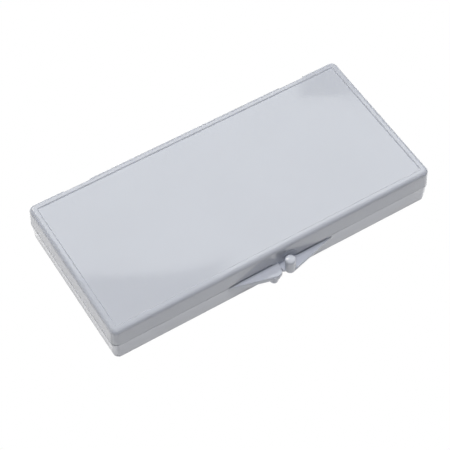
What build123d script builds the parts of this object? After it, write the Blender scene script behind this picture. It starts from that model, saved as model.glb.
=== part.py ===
from build123d import *
import math
import os

os.makedirs("parts", exist_ok=True)

# ---------------------------------------------------------------------------
# Flat hinged needle case with a magnetic sheet in each half.
# Millimetres. +X along the long side, -Y towards the thumb latch, +Z up.
# Origin: middle of the box's footprint, on the flat underside.
# ---------------------------------------------------------------------------

# outer box, measured where the two halves meet
LENGTH = 120.6            # along X
WIDTH = 57.96             # along Y
HEIGHT = 15.14            # closed, to the top of the lid's rim
SEAM_Z = 8.31             # height of the parting line
CORNER_R = 2.58           # plan corner radius at the parting line
LID_DRAFT = 0.413         # how far each lid wall stands in from the seam outline by the top
LID_STEP_X = 0.05         # how far the lid's end walls stand in at the seam
BASE_DRAFT = 0.707        # how far each base wall leans in by the bottom
LID_TOP_ROUND = 1.268     # rounding of the lid's top edge
BASE_FOOT_ROUND = 0.632   # rounding of the base's bottom edge
SEAM_ROUND = 0.12         # rounding of both lips on the outside
END_ROUND = 0.48          # the tray's lip on the two end walls, reached in steps round the corners
LIP_ROUND = 0.25          # rounding of both lips on the inside

# walls
WALL = 1.5
FLOOR = 1.5
PLATE = 1.4               # lid plate under the sunk panel
PANEL_INSET = 2.95        # foot of the sunk panel on top of the lid, from the seam outline
PANEL_DEPTH = 0.30
PANEL_CORNER_R = 0.35
PANEL_SLOPE = 50.0        # its step leans out by this many degrees from upright
PANEL_EDGE_ROUND = 0.12   # at the top of its step
PANEL_FOOT_ROUND = 0.12   # at the bottom of its step

# magnetic sheets and the tape that holds them
SHEET_T = 0.8
TAPE_T = 0.15
SHEET_X = 115.2
SHEET_Y0, SHEET_Y1 = -26.4, 25.9
SHEET_CORNER_R = 1.6
TAPE_INSET = 0.6

# hinges: two, 10 mm long, each with two base knuckles and one lid knuckle
AXIS_Y = 29.30
AXIS_Z = SEAM_Z
KNUCKLE_R = 1.40
PIN_R = 0.60
PIN_RUN = 0.05            # radial clearance in the lid's knuckle
HINGE_X = 41.85           # centre of each hinge from the middle
POCKET_W = 10.1           # pocket in the lid's back wall
POCKET_Y = 27.64          # flat face of the pocket
EAR_W = 2.3
KNUCKLE_W = 4.8
EAR_GAP = 0.15
BOSS_W = 12.5             # local thickening inside, behind each pocket
BOSS_Y = 26.35

# latch, laid out as X and distance out from the front wall
TAB_LID_TOP = 8.24
TAB_LID_BOTTOM = 6.33
TAB_BASE_TOP = 7.18
TAB_BASE_BOTTOM = 6.24
SKIRT_X0, SKIRT_X1 = -15.0, 0.25
SKIRT_T = 0.70
SKIRT_CLEAR = 0.14        # behind the skirt
SKIRT_GAP = 0.07          # at its ends and under it
TAB_CLEAR = 0.05          # behind the lid tab's tip, left of the skirt
ROOT_GROOVE_R = 0.47      # half-round groove in the wall along the top of each tab
STUD_X, STUD_D, STUD_R, STUD_TOP = 2.85, 2.94, 1.66, 12.30
STUD_HEAD_R = 1.84        # the stud widens a little towards its top
STUD_DOME_R = 5.0         # and its top is slightly domed
FOOT_X, FOOT_D = 0.40, 2.60   # the base tab runs on past the stud to here
RELIEF_X, RELIEF_Z, RELIEF_R, RELIEF_DEPTH = 4.35, 9.15, 3.05, 0.90   # dish in both walls behind the stud
PEG_X, PEG_D, PEG_R, PEG_BOTTOM = -3.30, 2.96, 1.45, 4.46

FRONT_Y = -WIDTH / 2
LID_H = HEIGHT - SEAM_Z
ROOM_TAPER = 3.4          # draft of the lid's inside
BASE_TAPER = math.degrees(math.atan(BASE_DRAFT / SEAM_Z))


def rounded(length, width, radius, z, down=False):
    """Rounded rectangle on a level plane, facing up or down."""
    face = Plane(origin=(0, 0, z), x_dir=(1, 0, 0), z_dir=(0, 0, -1 if down else 1))
    return face * RectangleRounded(length, width, radius)


def block(x0, x1, y0, y1, z0, z1):
    """Plain box between two corners."""
    return Pos((x0 + x1) / 2, (y0 + y1) / 2, (z0 + z1) / 2) * Box(x1 - x0, y1 - y0, z1 - z0)


def plan(points):
    """Closed outline from (x, distance out from the front wall) pairs."""
    return make_face(Polyline(*[(x, FRONT_Y - d) for x, d in points], close=True))


def prism(sketch, z0, z1):
    return extrude(Pos(0, 0, z0) * sketch, amount=z1 - z0)


def along_x(sketch, x0, x1):
    """Y-Z sketch pushed along X."""
    return extrude(Plane.YZ.offset(x0) * sketch, amount=x1 - x0)


def hull(circle_r, *points):
    """Y-Z outline: a circle on the hinge axis, stretched out to some points."""
    ring = Pos(AXIS_Y, AXIS_Z) * Circle(circle_r)
    edges = list(ring.edges())
    if len(points) == 1:
        py, pz = points[0]
        edges += [Line((py, pz), (py + 0.02, pz + 0.02))]
    else:
        edges += [Line(a, b) for a, b in zip(points, points[1:])]
    return make_hull(edges)


def barrel(radius, x0, x1):
    """Cylinder on the hinge axis."""
    return along_x(Pos(AXIS_Y, AXIS_Z) * Circle(radius), x0, x1)


def ends(part, z):
    """Edges that lie flat at one height."""
    return [e for e in part.edges()
            if abs(e.bounding_box().min.Z - z) < 1e-4 and abs(e.bounding_box().max.Z - z) < 1e-4]


def inner_lip(part):
    """Edges of the mouth of a half, at the parting line."""
    return [e for e in ends(part, SEAM_Z)
            if abs(e.center().X) < LENGTH / 2 - WALL + 0.05 and abs(e.center().Y) < WIDTH / 2 - WALL + 0.05]


def stepped(lips):
    """A half whose outer lip is rounded more and more towards the two ends."""
    bands = [(0.0, 57.9, 0.0), (57.9, 58.7, 0.34), (58.7, 59.4, 0.67), (59.4, 62.0, 1.0)]
    whole = None
    for x0, x1, share in bands:
        half = lips(SEAM_ROUND + share * (END_ROUND - SEAM_ROUND))
        if x0 == 0.0:
            cut = half & block(-x1, x1, -40, 40, -1, 20)
        else:
            cut = half & (block(x0, x1, -40, 40, -1, 20) + block(-x1, -x0, -40, 40, -1, 20))
        whole = cut if whole is None else whole + cut
    return whole


def root_groove(x0, x1, z):
    """Groove tool along the front wall, running out to a point at both ends."""
    way = 1 if x1 > x0 else -1
    steps = [(x0, 0.0), (x0 + way * 0.01, 0.3), (x0 + way * 0.6, ROOT_GROOVE_R),
             (x1 - way * 5.0, ROOT_GROOVE_R), (x1, 0.12), (x1 + way * 0.3, 0.0)]
    outline = make_face(Polyline(*steps, close=True))
    return Pos(0, FRONT_Y, z + ROOT_GROOVE_R - 0.03) * revolve(outline, Axis.X)


def soften(piece, x0, x1):
    """Round the rims of a hinge knuckle."""
    rims = [e for e in piece.edges() if min(abs(e.bounding_box().min.X - x0) + abs(e.bounding_box().max.X - x0),
                                            abs(e.bounding_box().min.X - x1) + abs(e.bounding_box().max.X - x1)) < 1e-4]
    return fillet(rims, 0.15)


# ---------------------------------------------------------------------------
# base tray
# ---------------------------------------------------------------------------
tray = extrude(rounded(LENGTH, WIDTH, CORNER_R, SEAM_Z, down=True), amount=SEAM_Z, taper=BASE_TAPER)
tray = fillet(ends(tray, 0), BASE_FOOT_ROUND)
tray_block = tray
tray = stepped(lambda r: fillet(ends(tray_block, SEAM_Z), r))

hollow = extrude(rounded(LENGTH - 2 * WALL, WIDTH - 2 * WALL, CORNER_R - WALL, SEAM_Z, down=True),
                 amount=SEAM_Z - FLOOR, taper=BASE_TAPER)
hollow = fillet(ends(hollow, FLOOR), 0.3)
tray -= hollow
tray = fillet(inner_lip(tray), LIP_ROUND)

for side in (-1, 1):
    cx = side * HINGE_X
    # thicker wall behind the hinge, then the pocket that the lid's knuckle turns in
    tray += block(cx - BOSS_W / 2, cx + BOSS_W / 2, BOSS_Y, 28.0, FLOOR - 0.2, SEAM_Z)
    half = KNUCKLE_W / 2 + EAR_GAP
    tray -= block(cx - half, cx + half, POCKET_Y, 31.0, 6.55, SEAM_Z + 1.0)
    # two ears with a gusset down the back wall
    ear = hull(KNUCKLE_R, (28.25, 3.9), (28.05, 7.9))
    for x0 in (cx - half - EAR_W, cx + half):
        tray += soften(along_x(ear, x0, x0 + EAR_W), x0, x0 + EAR_W)
    tray -= barrel(PIN_R, cx - POCKET_W, cx + POCKET_W)

# shallow dish behind the stud, in both halves
dish_r = (RELIEF_R ** 2 + RELIEF_DEPTH ** 2) / (2 * RELIEF_DEPTH)
finger_relief = Pos(RELIEF_X, FRONT_Y - dish_r + RELIEF_DEPTH, RELIEF_Z) * Sphere(dish_r)
tray -= finger_relief

# notch in the front lip that takes the lid's skirt: half the wall deep
tray -= block(SKIRT_X0 - SKIRT_GAP, SKIRT_X1 + SKIRT_GAP,
              FRONT_Y - 1.0, FRONT_Y + SKIRT_T + SKIRT_CLEAR,
              TAB_LID_BOTTOM - SKIRT_GAP, SEAM_Z + 1.0)

# base thumb tab: a straight front edge that runs tangent into the stud's circle
reach = math.hypot(21.0 - STUD_X, STUD_D)
lean = math.asin(STUD_R / reach) + math.atan2(STUD_D, 21.0 - STUD_X)
run = math.sqrt(reach ** 2 - STUD_R ** 2)
touch = (21.0 - run * math.cos(lean), run * math.sin(lean))
slope = math.tan(lean)
tab = plan([(21.0 + 0.9 / slope * 0.5, -0.45), touch, (STUD_X, STUD_D),
            (STUD_X - STUD_R, STUD_D), (FOOT_X, FOOT_D), (FOOT_X, -0.45)])
tab += Pos(STUD_X, FRONT_Y - STUD_D) * Circle(STUD_R)
tab = prism(tab, TAB_BASE_BOTTOM, TAB_BASE_TOP)
outer = [e for e in ends(tab, TAB_BASE_TOP) + ends(tab, TAB_BASE_BOTTOM)
         if e.center().Y < FRONT_Y - 0.1 and not (e.center().X < STUD_X - STUD_R + 0.01)]
tab = fillet(outer, 0.22)
stud = Pos(STUD_X, FRONT_Y - STUD_D, (STUD_TOP + TAB_BASE_BOTTOM + 0.3) / 2) * Cone(
    STUD_R, STUD_HEAD_R, STUD_TOP - TAB_BASE_BOTTOM - 0.3)
stud &= Pos(STUD_X, FRONT_Y - STUD_D, STUD_TOP - STUD_DOME_R) * Sphere(STUD_DOME_R)
head = [e for e in stud.edges() if e.center().Z > STUD_TOP - 0.6 and e.geom_type == GeomType.CIRCLE]
stud = fillet(head, 0.55)
tray -= root_groove(STUD_X + 0.2, 20.6, TAB_BASE_TOP)
tray += tab
tray += stud

# ---------------------------------------------------------------------------
# lid shell
# ---------------------------------------------------------------------------
lid = loft([rounded(LENGTH - 2 * LID_STEP_X, WIDTH, CORNER_R - 0.02, SEAM_Z),
            rounded(LENGTH - 2 * LID_DRAFT, WIDTH - 2 * LID_DRAFT, CORNER_R - LID_DRAFT, HEIGHT)], ruled=True)
lid = fillet(ends(lid, HEIGHT), LID_TOP_ROUND)
lid = fillet(ends(lid, SEAM_Z), SEAM_ROUND)

sunk = extrude(rounded(LENGTH - 2 * PANEL_INSET, WIDTH - 2 * PANEL_INSET, PANEL_CORNER_R,
                       HEIGHT - PANEL_DEPTH), amount=PANEL_DEPTH + 0.5, taper=-PANEL_SLOPE)
lid -= fillet(ends(sunk, HEIGHT - PANEL_DEPTH), PANEL_FOOT_ROUND)
spread = PANEL_DEPTH * math.tan(math.radians(PANEL_SLOPE))
rim = [e for e in ends(lid, HEIGHT)
       if abs(e.center().X) < LENGTH / 2 - PANEL_INSET + spread + 0.05
       and abs(e.center().Y) < WIDTH / 2 - PANEL_INSET + spread + 0.05]
lid = fillet(rim, PANEL_EDGE_ROUND)

LID_CEILING = HEIGHT - PANEL_DEPTH - PLATE
room = extrude(rounded(LENGTH - 2 * WALL, WIDTH - 2 * WALL, CORNER_R - WALL, SEAM_Z),
               amount=LID_CEILING - SEAM_Z, taper=ROOM_TAPER)
room = fillet(ends(room, LID_CEILING), 0.3)
lid -= room
lid = fillet(inner_lip(lid), LIP_ROUND)
lid -= finger_relief

for side in (-1, 1):
    cx = side * HINGE_X
    lid += block(cx - BOSS_W / 2, cx + BOSS_W / 2, BOSS_Y, 28.0, SEAM_Z, LID_CEILING + 0.2)
    # open pocket up the whole back of the lid
    lid -= block(cx - POCKET_W / 2, cx + POCKET_W / 2, POCKET_Y, 31.0, SEAM_Z - 1, HEIGHT + 1)
    knuckle = hull(KNUCKLE_R, (27.4, 9.2), (27.4, 12.0))
    lid += soften(along_x(knuckle, cx - KNUCKLE_W / 2, cx + KNUCKLE_W / 2), cx - KNUCKLE_W / 2, cx + KNUCKLE_W / 2)
    lid -= barrel(PIN_R + PIN_RUN, cx - KNUCKLE_W, cx + KNUCKLE_W)

# skirt under the front lip, flush with the wall, which carries the lid's tab
lid += block(SKIRT_X0, SKIRT_X1, FRONT_Y, FRONT_Y + SKIRT_T, TAB_LID_BOTTOM, SEAM_Z + 0.75)

thumb = plan([(-18.9, 0), (-2.35, 4.50), (-0.55, 3.62), (0.12, 1.60), (SKIRT_X1, 0),
              (SKIRT_X1, -0.3), (-18.9, -0.3)])
thumb = fillet([v for v in thumb.vertices() if abs(v.X + 2.35) < 0.01], 0.9)
thumb = fillet([v for v in thumb.vertices() if abs(v.X + 0.55) < 0.01], 0.7)
thumb = prism(thumb, TAB_LID_BOTTOM, TAB_LID_TOP)
outer = [e for e in ends(thumb, TAB_LID_TOP) + ends(thumb, TAB_LID_BOTTOM)
         if e.center().Y < FRONT_Y - 0.15 and e.center().X > -18.0]
thumb = fillet(outer, 0.28)
thumb -= block(-20, SKIRT_X0, FRONT_Y - TAB_CLEAR, FRONT_Y + 1, TAB_LID_BOTTOM - 1, TAB_LID_TOP + 1)
peg = Pos(PEG_X, FRONT_Y - PEG_D, (PEG_BOTTOM + TAB_LID_TOP - 0.4) / 2) * Cylinder(
    PEG_R, TAB_LID_TOP - 0.4 - PEG_BOTTOM)
peg = fillet(ends(peg, PEG_BOTTOM), 0.75)
lid -= root_groove(-1.9, -18.6, TAB_LID_TOP)
lid += thumb
lid += peg

# ---------------------------------------------------------------------------
# hinge pins, magnetic sheets and their tape
# ---------------------------------------------------------------------------
span = KNUCKLE_W + 2 * EAR_GAP + 2 * EAR_W


def pin(cx):
    rod = barrel(PIN_R, cx - span / 2, cx + span / 2)
    rims = [e for e in rod.edges() if abs(abs(e.center().X - cx) - span / 2) < 1e-4]
    return chamfer(rims, 0.1)


def sheet(z0, thick, inset):
    flat = Pos(0, (SHEET_Y0 + SHEET_Y1) / 2) * RectangleRounded(
        SHEET_X - 2 * inset, SHEET_Y1 - SHEET_Y0 - 2 * inset, SHEET_CORNER_R - inset * 0.5)
    return prism(flat, z0, z0 + thick)


nodes = {
    "base_tray": tray,
    "lid_shell": lid,
    "hinge_pin_left": pin(-HINGE_X),
    "hinge_pin_right": pin(HINGE_X),
    "base_magnet_tape": sheet(FLOOR, TAPE_T, TAPE_INSET),
    "base_magnet_sheet": sheet(FLOOR + TAPE_T, SHEET_T, 0),
    "lid_magnet_tape": sheet(LID_CEILING - TAPE_T, TAPE_T, TAPE_INSET),
    "lid_magnet_sheet": sheet(LID_CEILING - TAPE_T - SHEET_T, SHEET_T, 0),
}

for name, solid in nodes.items():
    print(name, "solids", len(solid.solids()), "volume", round(solid.volume, 3), "valid", solid.is_valid)
    export_step(solid, "parts/" + name + ".step")
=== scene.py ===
import math

import bpy
from mathutils import Matrix, Vector

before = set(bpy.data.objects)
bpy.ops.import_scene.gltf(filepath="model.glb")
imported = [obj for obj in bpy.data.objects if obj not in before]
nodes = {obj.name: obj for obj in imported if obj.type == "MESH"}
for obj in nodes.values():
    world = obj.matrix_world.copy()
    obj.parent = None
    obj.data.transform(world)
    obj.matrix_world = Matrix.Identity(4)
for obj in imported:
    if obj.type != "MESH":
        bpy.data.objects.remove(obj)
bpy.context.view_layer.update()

# ---------------------------------------------------------------- camera
AZ, EL, ROLL = math.radians(-31.189), math.radians(54.607), math.radians(-0.536)
TARGET = Vector((-0.005751, -0.005884, 0.00603))
DIST = 0.4996

back = Vector((math.sin(AZ) * math.cos(EL), -math.cos(AZ) * math.cos(EL), math.sin(EL)))
level = Vector((0, 0, 1)).cross(back).normalized()
above = back.cross(level)
cam_x = level * math.cos(ROLL) + above * math.sin(ROLL)
cam_y = above * math.cos(ROLL) - level * math.sin(ROLL)
eye = TARGET + back * DIST

cam_data = bpy.data.cameras.new("camera")
cam = bpy.data.objects.new("camera", cam_data)
bpy.context.scene.collection.objects.link(cam)
cam_data.sensor_width = 36.0
cam_data.lens = 1519.634 * 36.0 / 450.0
cam_data.clip_start, cam_data.clip_end = 0.01, 60.0
cam.matrix_world = Matrix((
    (cam_x.x, cam_y.x, back.x, eye.x),
    (cam_x.y, cam_y.y, back.y, eye.y),
    (cam_x.z, cam_y.z, back.z, eye.z),
    (0, 0, 0, 1)))
bpy.context.scene.camera = cam

# ---------------------------------------------------------------- colour
view = bpy.context.scene.view_settings
view.view_transform = "Standard"
view.look = "None"
view.exposure = 0.0
view.gamma = 1.0

# ---------------------------------------------------------------- lights
def place(lamp, centre, z, across):
    x = (across - z * across.dot(z)).normalized()
    y = z.cross(x)
    lamp.matrix_world = Matrix((
        (x.x, y.x, z.x, centre.x),
        (x.y, y.y, z.y, centre.y),
        (x.z, y.z, z.z, centre.z),
        (0, 0, 0, 1)))


def area(name, centre, aim, sx, sy, energy, colour, across=None):
    data = bpy.data.lights.new(name, "AREA")
    data.shape = "RECTANGLE"
    data.size, data.size_y = sx, sy
    data.energy = energy
    data.color = colour
    lamp = bpy.data.objects.new(name, data)
    bpy.context.scene.collection.objects.link(lamp)
    z = (centre - aim).normalized()
    if across is None:
        across = Vector((0, 0, 1)).cross(z)
    place(lamp, centre, z, across)
    return lamp


ON_BOX = Vector((0, 0, 0.01))
overhead = area("overhead", Vector((-0.06, 0.0, 1.5)), ON_BOX, 0.44, 0.6, 13.5, (0.985, 0.98, 1.0), across=Vector((1, 0, 0)))
overhead.visible_glossy = False     # diffused so widely that the gloss shows no bright patch of it
area("back_high", Vector((0.0, 1.4, 1.5)), ON_BOX, 0.6, 0.6, 4.8, (1.0, 0.93, 0.75))

# The softbox that the lid's top mirrors: square to the mirrored line of sight.
# U runs along it and V across it, in metres from the mirrored line of sight; its edges fade.
mirror = Vector((-back.x, -back.y, back.z))
lift = level.cross(mirror)
SOFT_U, SOFT_V = (-0.40, 0.40), (-0.19, 0.21)
SOFT_RADIANCE = 2.31
soft_at = Vector((0, 0, 0.01484)) + mirror * 0.9
soft_centre = soft_at + level * (sum(SOFT_U) / 2) + lift * (sum(SOFT_V) / 2)
soft_w, soft_h = SOFT_U[1] - SOFT_U[0], SOFT_V[1] - SOFT_V[0]
softbox = area("softbox", soft_centre, soft_centre - mirror, soft_w, soft_h,
               SOFT_RADIANCE * math.pi * soft_w * soft_h, (0.965, 0.993, 0.98), across=level)


# ---------------------------------------------------------------- node helpers
class Nodes:
    """A short way to write a node tree."""

    def __init__(self, tree):
        self.tree = tree
        tree.nodes.clear()

    def add(self, kind, **sockets):
        n = self.tree.nodes.new(kind)
        for key, value in sockets.items():
            if key.startswith("p_"):
                setattr(n, key[2:], value)
        for key, value in sockets.items():
            if key.startswith("p_"):
                continue
            key = key.replace("__", " ")
            sock = n.inputs[int(key[1:])] if key[0] == "i" and key[1:].isdigit() else n.inputs[key]
            if isinstance(value, bpy.types.NodeSocket):
                self.tree.links.new(value, sock)
            else:
                sock.default_value = value
        return n


def material(name):
    m = bpy.data.materials.new(name)
    m.use_nodes = True
    return m, Nodes(m.node_tree)


def moulded(name, colour, seed):
    """Glossy moulded plastic: faint flow marks, a little waviness, hairline rubs in the gloss."""
    m, t = material(name)
    where = t.add("ShaderNodeTexCoord").outputs["Object"]
    place = t.add("ShaderNodeMapping", Vector=where, Location=(seed * 0.137, seed * 0.071, seed * 0.031)).outputs[0]
    cloud = t.add("ShaderNodeTexNoise", Vector=place, Scale=38.0, Detail=3.0, Roughness=0.55)
    tone = t.add("ShaderNodeMapRange", Value=cloud.outputs["Fac"])
    tone.inputs["From Min"].default_value, tone.inputs["From Max"].default_value = 0.3, 0.7
    dark = tuple(c * 0.985 for c in colour) + (1.0,)
    light = tuple(min(1.0, c * 1.012) for c in colour) + (1.0,)
    base = t.add("ShaderNodeMix", p_data_type="RGBA")
    t.tree.links.new(tone.outputs[0], base.inputs[0])
    base.inputs[6].default_value, base.inputs[7].default_value = dark, light
    # hairline rubs: long thin noise, two directions
    rubs = []
    for k, (turn, stretch) in enumerate(((0.35, (900.0, 26.0, 26.0)), (-1.1, (1300.0, 34.0, 34.0)))):
        lay = t.add("ShaderNodeMapping", Vector=place, Rotation=(0.0, 0.0, turn), Scale=stretch).outputs[0]
        hair = t.add("ShaderNodeTexNoise", Vector=lay, Scale=1.0, Detail=2.0, Roughness=0.5)
        cut = t.add("ShaderNodeMapRange", Value=hair.outputs["Fac"])
        cut.inputs["From Min"].default_value, cut.inputs["From Max"].default_value = 0.66, 0.80
        rubs.append(cut.outputs[0])
    both = t.add("ShaderNodeMath", p_operation="MAXIMUM", i0=rubs[0], i1=rubs[1])
    haze = t.add("ShaderNodeTexNoise", Vector=place, Scale=120.0, Detail=4.0, Roughness=0.6)
    rough = t.add("ShaderNodeMapRange", Value=haze.outputs["Fac"])
    rough.inputs["From Min"].default_value, rough.inputs["From Max"].default_value = 0.3, 0.7
    rough.inputs["To Min"].default_value, rough.inputs["To Max"].default_value = 0.035, 0.06
    scuffed = t.add("ShaderNodeMath", p_operation="MULTIPLY_ADD", i0=both.outputs[0], i1=0.10, i2=rough.outputs[0])
    # waviness of a thin moulding, and a very fine skin texture
    wave = t.add("ShaderNodeTexNoise", Vector=place, Scale=55.0, Detail=1.5, Roughness=0.4)
    skin = t.add("ShaderNodeTexNoise", Vector=place, Scale=2600.0, Detail=2.0, Roughness=0.5)
    b1 = t.add("ShaderNodeBump", Height=wave.outputs["Fac"], Strength=0.035, Distance=0.0006)
    b2 = t.add("ShaderNodeBump", Height=skin.outputs["Fac"], Strength=0.05, Distance=0.00002, Normal=b1.outputs[0])
    b3 = t.add("ShaderNodeBump", Height=both.outputs[0], Strength=0.05, Distance=0.00001, Normal=b2.outputs[0])
    sh = t.add("ShaderNodeBsdfPrincipled")
    t.tree.links.new(base.outputs[2], sh.inputs["Base Color"])
    t.tree.links.new(scuffed.outputs[0], sh.inputs["Roughness"])
    t.tree.links.new(b3.outputs[0], sh.inputs["Normal"])
    sh.inputs["IOR"].default_value = 1.57
    sh.inputs["Subsurface Weight"].default_value = 0.2
    sh.inputs["Subsurface Radius"].default_value = (1.0, 1.0, 1.1)
    sh.inputs["Subsurface Scale"].default_value = 0.0007
    out = t.add("ShaderNodeOutputMaterial")
    t.tree.links.new(sh.outputs[0], out.inputs[0])
    return m


def magnet(name):
    """Ferrite-filled sheet: nearly black, satin, a fine grain with calender lines."""
    m, t = material(name)
    where = t.add("ShaderNodeTexCoord").outputs["Object"]
    grain = t.add("ShaderNodeTexNoise", Vector=where, Scale=2400.0, Detail=4.0, Roughness=0.6)
    cloud = t.add("ShaderNodeTexNoise", Vector=where, Scale=60.0, Detail=3.0)
    lines_at = t.add("ShaderNodeMapping", Vector=where, Scale=(12.0, 1500.0, 12.0)).outputs[0]
    lines = t.add("ShaderNodeTexNoise", Vector=lines_at, Scale=1.0, Detail=2.0)
    patches = t.add("ShaderNodeMath", p_operation="MULTIPLY_ADD", i0=cloud.outputs["Fac"], i1=0.3, i2=lines.outputs["Fac"])
    mix = t.add("ShaderNodeMath", p_operation="MULTIPLY_ADD", i0=grain.outputs["Fac"], i1=0.6, i2=patches.outputs[0])
    ramp = t.add("ShaderNodeValToRGB", Fac=mix.outputs[0])
    ramp.color_ramp.elements[0].position, ramp.color_ramp.elements[1].position = 0.55, 1.0
    ramp.color_ramp.elements[0].color = (0.020, 0.017, 0.015, 1)
    ramp.color_ramp.elements[1].color = (0.055, 0.048, 0.043, 1)
    rough = t.add("ShaderNodeMapRange", Value=lines.outputs["Fac"])
    rough.inputs["To Min"].default_value, rough.inputs["To Max"].default_value = 0.42, 0.62
    b1 = t.add("ShaderNodeBump", Height=grain.outputs["Fac"], Strength=0.35, Distance=0.00004)
    b2 = t.add("ShaderNodeBump", Height=lines.outputs["Fac"], Strength=0.2, Distance=0.00005, Normal=b1.outputs[0])
    sh = t.add("ShaderNodeBsdfPrincipled")
    t.tree.links.new(ramp.outputs[0], sh.inputs["Base Color"])
    t.tree.links.new(rough.outputs[0], sh.inputs["Roughness"])
    t.tree.links.new(b2.outputs[0], sh.inputs["Normal"])
    out = t.add("ShaderNodeOutputMaterial")
    t.tree.links.new(sh.outputs[0], out.inputs[0])
    return m


def tape(name):
    """Thin off-white film with a paper-like grain."""
    m, t = material(name)
    where = t.add("ShaderNodeTexCoord").outputs["Object"]
    fibre = t.add("ShaderNodeTexNoise", Vector=where, Scale=900.0, Detail=5.0, Roughness=0.65)
    ramp = t.add("ShaderNodeValToRGB", Fac=fibre.outputs["Fac"])
    ramp.color_ramp.elements[0].color = (0.60, 0.57, 0.50, 1)
    ramp.color_ramp.elements[1].color = (0.74, 0.72, 0.66, 1)
    b1 = t.add("ShaderNodeBump", Height=fibre.outputs["Fac"], Strength=0.3, Distance=0.00003)
    sh = t.add("ShaderNodeBsdfPrincipled", Roughness=0.7)
    t.tree.links.new(ramp.outputs[0], sh.inputs["Base Color"])
    t.tree.links.new(b1.outputs[0], sh.inputs["Normal"])
    out = t.add("ShaderNodeOutputMaterial")
    t.tree.links.new(sh.outputs[0], out.inputs[0])
    return m


def wire(name):
    """Drawn steel wire: lines along X, slight tarnish."""
    m, t = material(name)
    where = t.add("ShaderNodeTexCoord").outputs["Object"]
    drawn_at = t.add("ShaderNodeMapping", Vector=where, Scale=(60.0, 6000.0, 6000.0)).outputs[0]
    drawn = t.add("ShaderNodeTexNoise", Vector=drawn_at, Scale=1.0, Detail=3.0)
    spots = t.add("ShaderNodeTexNoise", Vector=where, Scale=700.0, Detail=3.0)
    ramp = t.add("ShaderNodeValToRGB", Fac=spots.outputs["Fac"])
    ramp.color_ramp.elements[0].color = (0.42, 0.41, 0.40, 1)
    ramp.color_ramp.elements[1].color = (0.62, 0.62, 0.63, 1)
    rough = t.add("ShaderNodeMapRange", Value=drawn.outputs["Fac"])
    rough.inputs["To Min"].default_value, rough.inputs["To Max"].default_value = 0.18, 0.38
    b1 = t.add("ShaderNodeBump", Height=drawn.outputs["Fac"], Strength=0.2, Distance=0.00002)
    sh = t.add("ShaderNodeBsdfPrincipled", Metallic=1.0)
    t.tree.links.new(ramp.outputs[0], sh.inputs["Base Color"])
    t.tree.links.new(rough.outputs[0], sh.inputs["Roughness"])
    t.tree.links.new(b1.outputs[0], sh.inputs["Normal"])
    out = t.add("ShaderNodeOutputMaterial")
    t.tree.links.new(sh.outputs[0], out.inputs[0])
    return m


def wear(obj, mat):
    obj.data.materials.clear()
    obj.data.materials.append(mat)


def fade(t, value, lo, hi):
    """0 below lo, 1 above hi, smooth between; falls instead where lo is the larger."""
    flip = lo > hi
    r = t.add("ShaderNodeMapRange", p_interpolation_type="SMOOTHSTEP", Value=value)
    r.inputs["From Min"].default_value, r.inputs["From Max"].default_value = (hi, lo) if flip else (lo, hi)
    if flip:
        r.inputs["To Min"].default_value, r.inputs["To Max"].default_value = 1.0, 0.0
    return r.outputs[0]


def softbox_nodes(lamp):
    """Emission over the softbox: an even sheet with soft long edges, one of them bent."""
    lamp.data.use_nodes = True
    t = Nodes(lamp.data.node_tree)
    spot = t.add("ShaderNodeNewGeometry").outputs["Position"]
    off = t.add("ShaderNodeVectorMath", p_operation="SUBTRACT", i0=spot, i1=tuple(soft_at)).outputs[0]
    u = t.add("ShaderNodeVectorMath", p_operation="DOT_PRODUCT", i0=off, i1=tuple(level)).outputs["Value"]
    v = t.add("ShaderNodeVectorMath", p_operation="DOT_PRODUCT", i0=off, i1=tuple(lift)).outputs["Value"]
    # near edge: straight on the left, then it bends away to the right, where it fades out
    along = t.add("ShaderNodeMath", p_operation="ADD", i0=u, i1=0.0806)
    bend = t.add("ShaderNodeMath", p_operation="MAXIMUM", i0=along.outputs[0], i1=0.0)
    curve = t.add("ShaderNodeMath", p_operation="MULTIPLY", i0=bend.outputs[0], i1=bend.outputs[0])
    near = t.add("ShaderNodeMath", p_operation="MULTIPLY_ADD", i0=curve.outputs[0], i1=2.714, i2=v)
    near = t.add("ShaderNodeMath", p_operation="MULTIPLY_ADD", i0=along.outputs[0], i1=-0.0094, i2=near.outputs[0])
    near_cut = fade(t, near.outputs[0], 0.0584, 0.0558)
    fill = fade(t, u, -0.018, 0.012)
    near_cut = t.add("ShaderNodeMath", p_operation="MAXIMUM", i0=near_cut, i1=fill).outputs[0]
    # far edge, only on the right
    far_cut = fade(t, v, -0.1085, -0.1035)
    spare = fade(t, u, 0.074, 0.062)
    far_cut = t.add("ShaderNodeMath", p_operation="MAXIMUM", i0=far_cut, i1=spare).outputs[0]
    sheet = t.add("ShaderNodeMath", p_operation="MULTIPLY", i0=near_cut, i1=far_cut).outputs[0]
    power = t.add("ShaderNodeMath", p_operation="MULTIPLY_ADD", i0=sheet, i1=0.78, i2=0.22).outputs[0]
    em = t.add("ShaderNodeEmission", Color=(1.0, 1.0, 1.0, 1.0), Strength=power)
    out = t.add("ShaderNodeOutputLight")
    t.tree.links.new(em.outputs[0], out.inputs[0])


softbox_nodes(softbox)


PLASTIC = (0.655, 0.685, 0.755)
wear(nodes["base_tray"], moulded("base_plastic", PLASTIC, 1))
wear(nodes["lid_shell"], moulded("lid_plastic", PLASTIC, 2))
magnet_mat, tape_mat, wire_mat = magnet("magnet_sheet"), tape("mounting_tape"), wire("pin_steel")
for n in ("base_magnet_sheet", "lid_magnet_sheet"):
    wear(nodes[n], magnet_mat)
for n in ("base_magnet_tape", "lid_magnet_tape"):
    wear(nodes[n], tape_mat)
for n in ("hinge_pin_left", "hinge_pin_right"):
    wear(nodes[n], wire_mat)

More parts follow.
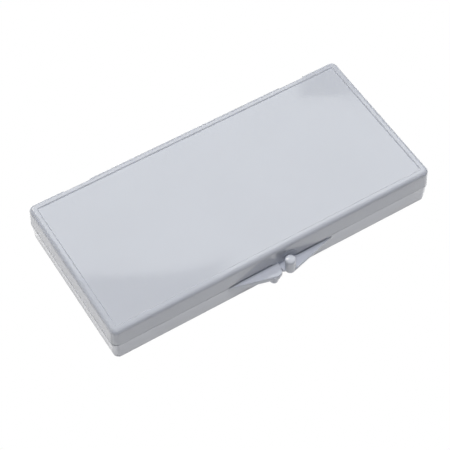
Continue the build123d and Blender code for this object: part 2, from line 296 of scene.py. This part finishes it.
# ---------------------------------------------------------------- floor and surroundings
SIDE = 6.0
floor_mesh = bpy.data.meshes.new("floor")
floor_mesh.from_pydata([(-SIDE, -SIDE, 0), (SIDE, -SIDE, 0), (SIDE, SIDE, 0), (-SIDE, SIDE, 0)], [], [(0, 1, 2, 3)])
floor = bpy.data.objects.new("floor", floor_mesh)
bpy.context.scene.collection.objects.link(floor)
fm, ft = material("floor_paper")
paper = ft.add("ShaderNodeBsdfDiffuse", Color=(0.86, 0.86, 0.86, 1.0))
seen = ft.add("ShaderNodeLightPath")
spread = ft.add("ShaderNodeTexCoord").outputs["Object"]
ahead = ft.add("ShaderNodeSeparateXYZ", Vector=spread).outputs[1]
# painted reflection: for glossy rays only, the floor glows brightest in a band just in front of the box and brighter
# still in a narrow strip along its foot, so the walls mirror light that lights nothing else
pale = ft.add("ShaderNodeMapRange", p_interpolation_type="SMOOTHSTEP", Value=ahead)
pale.inputs["From Min"].default_value, pale.inputs["From Max"].default_value = -0.030, -0.020
pale.inputs["To Min"].default_value, pale.inputs["To Max"].default_value = 0.88, 0.62
falling = ft.add("ShaderNodeMapRange", p_interpolation_type="SMOOTHSTEP", Value=ahead)
falling.inputs["From Min"].default_value, falling.inputs["From Max"].default_value = -0.047, -0.0360
falling.inputs["To Min"].default_value, falling.inputs["To Max"].default_value = 0.0, 1.0
painted_foot_strip = ft.add("ShaderNodeMath", p_operation="MULTIPLY", i0=fade(ft, ahead, -0.0303, -0.0291),
              i1=fade(ft, ahead, -0.0262, -0.0274))
nearby = ft.add("ShaderNodeMath", p_operation="MULTIPLY_ADD", i0=painted_foot_strip.outputs[0], i1=0.3, i2=pale.outputs[0])
painted_reflection_glow = ft.add("ShaderNodeMath", p_operation="MULTIPLY", i0=nearby.outputs[0], i1=falling.outputs[0])
gloss = ft.add("ShaderNodeMath", p_operation="MULTIPLY", i0=seen.outputs["Is Glossy Ray"], i1=painted_reflection_glow.outputs[0])
glow = ft.add("ShaderNodeEmission", Color=(1.0, 1.0, 1.0, 1.0), Strength=gloss.outputs[0])
both = ft.add("ShaderNodeAddShader", i0=paper.outputs[0], i1=glow.outputs[0])
white = ft.add("ShaderNodeEmission", Color=(1.0, 1.0, 1.0, 1.0), Strength=1.0)
choose = ft.add("ShaderNodeMixShader", Fac=seen.outputs["Is Camera Ray"], i1=both.outputs[0], i2=white.outputs[0])
fo = ft.add("ShaderNodeOutputMaterial")
ft.tree.links.new(choose.outputs[0], fo.inputs[0])
wear(floor, fm)

# The surroundings: white where the camera sees them; gloss mirrors a pale low band that darkens towards the front and the right.
world = bpy.data.worlds.new("studio")
bpy.context.scene.world = world
world.use_nodes = True
wt = Nodes(world.node_tree)
toward = wt.add("ShaderNodeTexCoord").outputs["Generated"]
parts = wt.add("ShaderNodeSeparateXYZ", Vector=toward)
band = wt.add("ShaderNodeMapRange", Value=parts.outputs[2])
band.inputs["From Min"].default_value, band.inputs["From Max"].default_value = 0.0, 0.6
band.inputs["To Min"].default_value, band.inputs["To Max"].default_value = 0.5, 0.04
ray = wt.add("ShaderNodeLightPath")
sides = fade(wt, parts.outputs[1], -0.7, 0.1)
far_end = fade(wt, parts.outputs[0], 0.95, 0.25)
sides = wt.add("ShaderNodeMath", p_operation="MULTIPLY", i0=sides, i1=far_end).outputs[0]
low = wt.add("ShaderNodeMath", p_operation="MULTIPLY", i0=band.outputs[0], i1=sides)
# a faint glow high in front, which only the slopes that face forward mirror
glow_y = wt.add("ShaderNodeMath", p_operation="MULTIPLY", i0=fade(wt, parts.outputs[1], -0.80, -0.68),
                i1=fade(wt, parts.outputs[1], -0.05, -0.30))
glow_up = wt.add("ShaderNodeMath", p_operation="MULTIPLY", i0=glow_y.outputs[0], i1=fade(wt, parts.outputs[2], 0.30, 0.45))
around = wt.add("ShaderNodeMath", p_operation="MULTIPLY_ADD", i0=glow_up.outputs[0], i1=0.5, i2=low.outputs[0])
mirrored = wt.add("ShaderNodeMath", p_operation="MULTIPLY", i0=around.outputs[0], i1=ray.outputs["Is Glossy Ray"])
level_of = wt.add("ShaderNodeMath", p_operation="MAXIMUM", i0=mirrored.outputs[0], i1=ray.outputs["Is Camera Ray"])
sky = wt.add("ShaderNodeBackground", Color=(1.0, 1.0, 1.0, 1.0), Strength=level_of.outputs[0])
wo = wt.add("ShaderNodeOutputWorld")
wt.tree.links.new(sky.outputs[0], wo.inputs[0])
